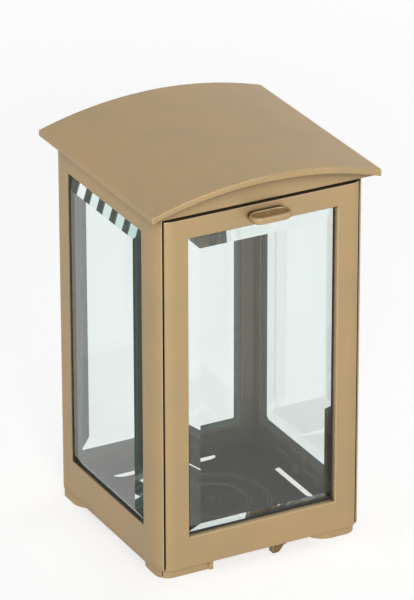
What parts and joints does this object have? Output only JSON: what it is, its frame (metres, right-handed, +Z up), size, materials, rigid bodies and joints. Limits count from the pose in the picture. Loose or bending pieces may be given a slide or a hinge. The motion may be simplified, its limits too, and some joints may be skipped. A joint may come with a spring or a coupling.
{
  "type": "grave lantern",
  "caption": "Square bronze grave lantern with a vaulted roof, bevelled glass walls, low feet and a hinged glazed door with a finger lug.",
  "frame": {"origin": "axis of the fixing hole, at the level that the feet stand on", "axes": "+Z up, +X to the right along the door as seen from in front, +Y from the door to the back wall"},
  "size_m": [0.1404, 0.1446, 0.2353],
  "materials": {
    "cast_bronze": "sand cast, brushed and lacquered golden brown",
    "bevelled_glass": "clear polished float glass with ground bevels",
    "clip_bronze": "dark patinated bronze strip",
    "turned_brass": "turned, dull",
    "spring_bronze": "rolled spring bronze"
  },
  "bodies": {
    "case": {"left_wall": "cast_bronze", "right_wall": "cast_bronze", "back_wall": "cast_bronze", "front_lintel": "cast_bronze", "roof": "cast_bronze", "base_plate": "cast_bronze", "back_glass": "bevelled_glass", "left_glass": "bevelled_glass", "right_glass": "bevelled_glass", "lower_back_clip": "clip_bronze", "upper_back_clip": "clip_bronze", "lower_left_clip": "clip_bronze", "upper_left_clip": "clip_bronze", "lower_right_clip": "clip_bronze", "upper_right_clip": "clip_bronze", "door_catch_screw": "turned_brass", "roof_screws": "turned_brass", "base_screws": "turned_brass", "back_clip_screws": "turned_brass", "left_clip_screws": "turned_brass", "right_clip_screws": "turned_brass", "lower_hinge_pin": "turned_brass", "upper_hinge_pin": "turned_brass", "door_catch": "spring_bronze"},
    "door": {"door_frame": "cast_bronze", "door_pull": "cast_bronze", "door_pull_screw": "turned_brass", "door_glass": "bevelled_glass", "lower_door_clip": "clip_bronze", "upper_door_clip": "clip_bronze", "door_clip_screws": "turned_brass"}
  },
  "joints": [
    {"name": "door_swing", "type": "hinge", "parent": "case", "child": "door", "pos_m": [0.054, -0.0594, 0.005], "axis": [0, 0, 1], "range_deg": [0, 100]}
  ]
}
